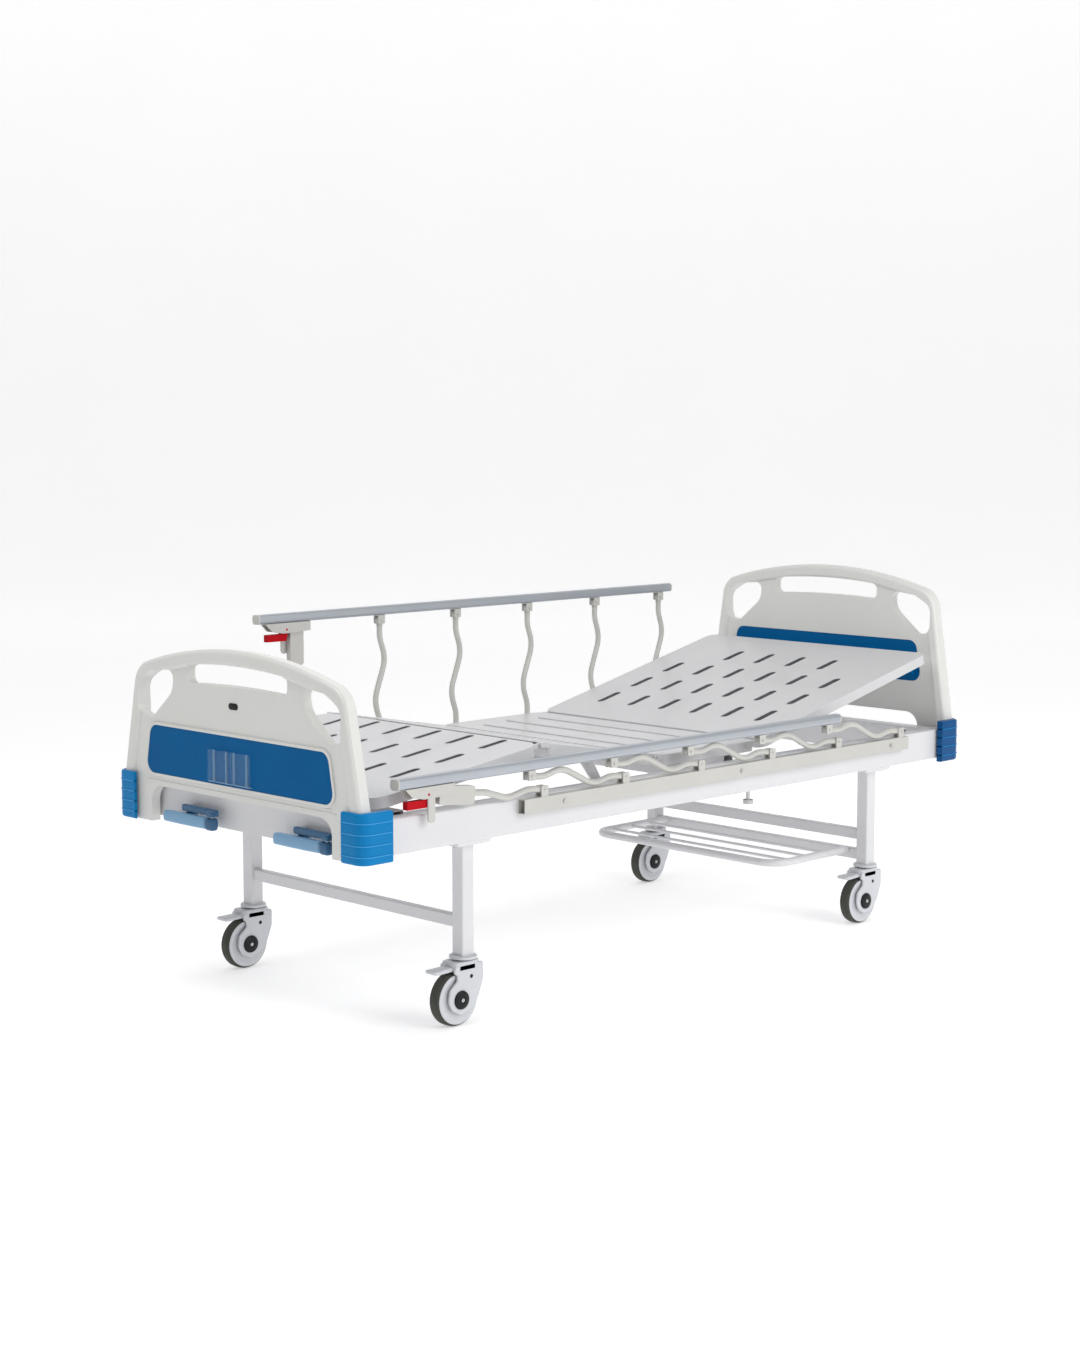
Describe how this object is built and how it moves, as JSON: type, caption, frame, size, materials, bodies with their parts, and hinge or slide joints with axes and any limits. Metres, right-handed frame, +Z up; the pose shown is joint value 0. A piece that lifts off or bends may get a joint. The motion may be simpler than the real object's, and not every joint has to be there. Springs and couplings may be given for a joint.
{
  "type": "hospital bed",
  "caption": "Adjustable crank hospital bed on braked casters, with slotted steel platform sections, moulded end boards and folding side rails.",
  "frame": {"origin": "on the floor at the middle of the bed's length and width", "axes": "+X towards the head end, +Y towards the raised rail's side, +Z up"},
  "size_m": [2.17, 0.9, 0.9309],
  "materials": {
    "board_plastic": "satin",
    "panel_blue": "satin",
    "bumper_blue": "satin",
    "frame_paint": "satin",
    "deck_paint": "satin",
    "rail_cream": "satin",
    "rail_tube": "satin",
    "release_red": "gloss",
    "crank_blue": "satin",
    "steel": "brushed",
    "caster_plastic": "satin",
    "tyre": "matte"
  },
  "bodies": {
    "frame": {"near_side_beam": "frame_paint", "far_side_beam": "frame_paint", "cross_members": "frame_paint", "foot_leg_frame": "frame_paint", "head_leg_frame": "frame_paint", "storage_rack": "frame_paint", "foot_board": "board_plastic", "head_board": "board_plastic", "board_panels": "panel_blue", "corner_bumpers": "bumper_blue", "seat_section": "deck_paint", "near_rail_channel": "rail_cream", "far_rail_channel": "rail_cream", "pivot_pins": "steel", "frame_fixings": "steel", "screw_bearings": "steel", "board_latches": "panel_blue"},
    "back": {"back_section": "deck_paint"},
    "thigh": {"thigh_section": "deck_paint"},
    "calf": {"calf_section": "deck_paint"},
    "back_screw": {"back_screw": "steel"},
    "back_nut": {"back_nut": "steel"},
    "back_crank": {"back_crank": "crank_blue"},
    "back_grip": {"back_grip": "crank_blue"},
    "knee_screw": {"knee_screw": "steel"},
    "knee_nut": {"knee_nut": "steel"},
    "knee_crank": {"knee_crank": "crank_blue"},
    "knee_grip": {"knee_grip": "crank_blue"},
    "near_lock_post": {"near_lock_post": "rail_cream"},
    "near_rail": {"near_rail_tube": "rail_tube", "near_rail_fittings": "rail_cream", "near_lock_housing": "rail_cream"},
    "near_release": {"near_release_lever": "release_red"},
    "near_post_1": {"near_post_1": "rail_cream"},
    "near_post_2": {"near_post_2": "rail_cream"},
    "near_post_3": {"near_post_3": "rail_cream"},
    "near_post_4": {"near_post_4": "rail_cream"},
    "near_post_5": {"near_post_5": "rail_cream"},
    "far_lock_post": {"far_lock_post": "rail_cream"},
    "far_rail": {"far_rail_tube": "rail_tube", "far_rail_fittings": "rail_cream", "far_lock_housing": "rail_cream"},
    "far_release": {"far_release_lever": "release_red"},
    "far_post_1": {"far_post_1": "rail_cream"},
    "far_post_2": {"far_post_2": "rail_cream"},
    "far_post_3": {"far_post_3": "rail_cream"},
    "far_post_4": {"far_post_4": "rail_cream"},
    "far_post_5": {"far_post_5": "rail_cream"},
    "near_foot_caster_fork": {"near_foot_caster_fork": "caster_plastic"},
    "near_foot_caster_wheel": {"near_foot_caster_wheel": "tyre"},
    "near_foot_caster_pedal": {"near_foot_caster_pedal": "caster_plastic"},
    "far_foot_caster_fork": {"far_foot_caster_fork": "caster_plastic"},
    "far_foot_caster_wheel": {"far_foot_caster_wheel": "tyre"},
    "far_foot_caster_pedal": {"far_foot_caster_pedal": "caster_plastic"},
    "near_head_caster_fork": {"near_head_caster_fork": "caster_plastic"},
    "near_head_caster_wheel": {"near_head_caster_wheel": "tyre"},
    "near_head_caster_pedal": {"near_head_caster_pedal": "caster_plastic"},
    "far_head_caster_fork": {"far_head_caster_fork": "caster_plastic"},
    "far_head_caster_wheel": {"far_head_caster_wheel": "tyre"},
    "far_head_caster_pedal": {"far_head_caster_pedal": "caster_plastic"}
  },
  "joints": [
    {"name": "back_lift", "type": "hinge", "parent": "frame", "child": "back", "pos_m": [0.285, 0, 0.535], "axis": [0, -1, 0], "range_deg": [-13.2, 61.8]},
    {"name": "knee_lift", "type": "hinge", "parent": "frame", "child": "thigh", "pos_m": [-0.095, 0, 0.535], "axis": [0, 1, 0], "range_deg": [-10.3, 24.7]},
    {"name": "calf_follow", "type": "hinge", "parent": "thigh", "child": "calf", "pos_m": [-0.48462, 0, 0.60581], "axis": [0, 1, 0], "range_deg": [-44, 18.5]},
    {"name": "back_screw_turn", "type": "hinge", "parent": "frame", "child": "back_screw", "pos_m": [-1, 0.205, 0.448], "axis": [1, 0, 0], "range_deg": [-1515.63, 7077.47]},
    {"name": "back_nut_travel", "type": "slide", "parent": "frame", "child": "back_nut", "axis": [1, 0, 0], "range_m": [-0.024, 0.11052]},
    {"name": "back_crank_pull", "type": "slide", "parent": "frame", "child": "back_crank", "axis": [-1, 0, 0], "range_m": [0, 0.06]},
    {"name": "back_grip_fold", "type": "hinge", "parent": "back_crank", "child": "back_grip", "pos_m": [-1.065, 0.1, 0.44], "axis": [0, 0, 1], "range_deg": [0, 90]},
    {"name": "knee_screw_turn", "type": "hinge", "parent": "frame", "child": "knee_screw", "pos_m": [-1, -0.205, 0.448], "axis": [1, 0, 0], "range_deg": [-2493.94, 1042.9]},
    {"name": "knee_nut_travel", "type": "slide", "parent": "frame", "child": "knee_nut", "axis": [1, 0, 0], "range_m": [-0.03922, 0.01665]},
    {"name": "knee_crank_pull", "type": "slide", "parent": "frame", "child": "knee_crank", "axis": [-1, 0, 0], "range_m": [0, 0.06]},
    {"name": "knee_grip_fold", "type": "hinge", "parent": "knee_crank", "child": "knee_grip", "pos_m": [-1.065, -0.31, 0.44], "axis": [0, 0, 1], "range_deg": [0, 90]},
    {"name": "near_rail_swing", "type": "hinge", "parent": "frame", "child": "near_lock_post", "pos_m": [-0.538, -0.436, 0.516], "axis": [0, 1, 0], "range_deg": [0, 83.74]},
    {"name": "near_rail_level", "type": "hinge", "parent": "near_lock_post", "child": "near_rail", "pos_m": [-0.84814, -0.436, 0.55], "axis": [0, 1, 0], "range_deg": [-83.74, 0]},
    {"name": "near_release_pull", "type": "hinge", "parent": "near_rail", "child": "near_release", "pos_m": [-0.89414, -0.436, 0.547], "axis": [0, 1, 0], "range_deg": [0, 18], "stiffness_Nm_per_rad": 0.5, "springref_deg": -8.59},
    {"name": "near_post_1_swing", "type": "hinge", "parent": "frame", "child": "near_post_1", "pos_m": [-0.268, -0.436, 0.516], "axis": [0, 1, 0], "range_deg": [0, 83.74]},
    {"name": "near_post_2_swing", "type": "hinge", "parent": "frame", "child": "near_post_2", "pos_m": [0.002, -0.436, 0.516], "axis": [0, 1, 0], "range_deg": [0, 83.74]},
    {"name": "near_post_3_swing", "type": "hinge", "parent": "frame", "child": "near_post_3", "pos_m": [0.272, -0.436, 0.516], "axis": [0, 1, 0], "range_deg": [0, 83.74]},
    {"name": "near_post_4_swing", "type": "hinge", "parent": "frame", "child": "near_post_4", "pos_m": [0.542, -0.436, 0.516], "axis": [0, 1, 0], "range_deg": [0, 83.74]},
    {"name": "near_post_5_swing", "type": "hinge", "parent": "frame", "child": "near_post_5", "pos_m": [0.812, -0.436, 0.516], "axis": [0, 1, 0], "range_deg": [0, 83.74]},
    {"name": "far_rail_swing", "type": "hinge", "parent": "frame", "child": "far_lock_post", "pos_m": [-0.538, 0.436, 0.516], "axis": [0, 1, 0], "range_deg": [-83.74, 0]},
    {"name": "far_rail_level", "type": "hinge", "parent": "far_lock_post", "child": "far_rail", "pos_m": [-0.538, 0.436, 0.828], "axis": [0, 1, 0], "range_deg": [0, 83.74]},
    {"name": "far_release_pull", "type": "hinge", "parent": "far_rail", "child": "far_release", "pos_m": [-0.584, 0.436, 0.825], "axis": [0, 1, 0], "range_deg": [0, 18], "stiffness_Nm_per_rad": 0.5, "springref_deg": -8.59},
    {"name": "far_post_1_swing", "type": "hinge", "parent": "frame", "child": "far_post_1", "pos_m": [-0.268, 0.436, 0.516], "axis": [0, 1, 0], "range_deg": [-83.74, 0]},
    {"name": "far_post_2_swing", "type": "hinge", "parent": "frame", "child": "far_post_2", "pos_m": [0.002, 0.436, 0.516], "axis": [0, 1, 0], "range_deg": [-83.74, 0]},
    {"name": "far_post_3_swing", "type": "hinge", "parent": "frame", "child": "far_post_3", "pos_m": [0.272, 0.436, 0.516], "axis": [0, 1, 0], "range_deg": [-83.74, 0]},
    {"name": "far_post_4_swing", "type": "hinge", "parent": "frame", "child": "far_post_4", "pos_m": [0.542, 0.436, 0.516], "axis": [0, 1, 0], "range_deg": [-83.74, 0]},
    {"name": "far_post_5_swing", "type": "hinge", "parent": "frame", "child": "far_post_5", "pos_m": [0.812, 0.436, 0.516], "axis": [0, 1, 0], "range_deg": [-83.74, 0]},
    {"name": "near_foot_caster_swivel", "type": "hinge", "parent": "frame", "child": "near_foot_caster_fork", "pos_m": [-0.734, -0.382, 0.15], "axis": [0, 0, 1], "continuous": true},
    {"name": "near_foot_caster_roll", "type": "hinge", "parent": "near_foot_caster_fork", "child": "near_foot_caster_wheel", "pos_m": [-0.764, -0.382, 0.0625], "axis": [0, 1, 0], "continuous": true},
    {"name": "near_foot_caster_brake", "type": "hinge", "parent": "near_foot_caster_fork", "child": "near_foot_caster_pedal", "pos_m": [-0.774, -0.382, 0.133], "axis": [0, -1, 0], "range_deg": [0, 12]},
    {"name": "far_foot_caster_swivel", "type": "hinge", "parent": "frame", "child": "far_foot_caster_fork", "pos_m": [-0.734, 0.382, 0.15], "axis": [0, 0, 1], "continuous": true},
    {"name": "far_foot_caster_roll", "type": "hinge", "parent": "far_foot_caster_fork", "child": "far_foot_caster_wheel", "pos_m": [-0.764, 0.382, 0.0625], "axis": [0, 1, 0], "continuous": true},
    {"name": "far_foot_caster_brake", "type": "hinge", "parent": "far_foot_caster_fork", "child": "far_foot_caster_pedal", "pos_m": [-0.774, 0.382, 0.133], "axis": [0, -1, 0], "range_deg": [0, 12]},
    {"name": "near_head_caster_swivel", "type": "hinge", "parent": "frame", "child": "near_head_caster_fork", "pos_m": [0.746, -0.382, 0.15], "axis": [0, 0, 1], "continuous": true},
    {"name": "near_head_caster_roll", "type": "hinge", "parent": "near_head_caster_fork", "child": "near_head_caster_wheel", "pos_m": [0.716, -0.382, 0.0625], "axis": [0, 1, 0], "continuous": true},
    {"name": "near_head_caster_brake", "type": "hinge", "parent": "near_head_caster_fork", "child": "near_head_caster_pedal", "pos_m": [0.706, -0.382, 0.133], "axis": [0, -1, 0], "range_deg": [0, 12]},
    {"name": "far_head_caster_swivel", "type": "hinge", "parent": "frame", "child": "far_head_caster_fork", "pos_m": [0.746, 0.382, 0.15], "axis": [0, 0, 1], "continuous": true},
    {"name": "far_head_caster_roll", "type": "hinge", "parent": "far_head_caster_fork", "child": "far_head_caster_wheel", "pos_m": [0.716, 0.382, 0.0625], "axis": [0, 1, 0], "continuous": true},
    {"name": "far_head_caster_brake", "type": "hinge", "parent": "far_head_caster_fork", "child": "far_head_caster_pedal", "pos_m": [0.706, 0.382, 0.133], "axis": [0, -1, 0], "range_deg": [0, 12]}
  ],
  "couplings": [
    {"joint": "calf_follow", "follows": "knee_lift", "ratio": -1.75},
    {"joint": "back_screw_turn", "follows": "back_lift", "ratio": 114.44},
    {"joint": "back_nut_travel", "follows": "back_lift", "m_per_rad": 0.102},
    {"joint": "knee_screw_turn", "follows": "knee_lift", "ratio": -100.77},
    {"joint": "knee_nut_travel", "follows": "knee_lift", "m_per_rad": -0.08981},
    {"joint": "near_rail_level", "follows": "near_rail_swing", "ratio": -1},
    {"joint": "near_post_1_swing", "follows": "near_rail_swing", "ratio": 1},
    {"joint": "near_post_2_swing", "follows": "near_rail_swing", "ratio": 1},
    {"joint": "near_post_3_swing", "follows": "near_rail_swing", "ratio": 1},
    {"joint": "near_post_4_swing", "follows": "near_rail_swing", "ratio": 1},
    {"joint": "near_post_5_swing", "follows": "near_rail_swing", "ratio": 1},
    {"joint": "far_rail_level", "follows": "far_rail_swing", "ratio": -1},
    {"joint": "far_post_1_swing", "follows": "far_rail_swing", "ratio": 1},
    {"joint": "far_post_2_swing", "follows": "far_rail_swing", "ratio": 1},
    {"joint": "far_post_3_swing", "follows": "far_rail_swing", "ratio": 1},
    {"joint": "far_post_4_swing", "follows": "far_rail_swing", "ratio": 1},
    {"joint": "far_post_5_swing", "follows": "far_rail_swing", "ratio": 1}
  ]
}
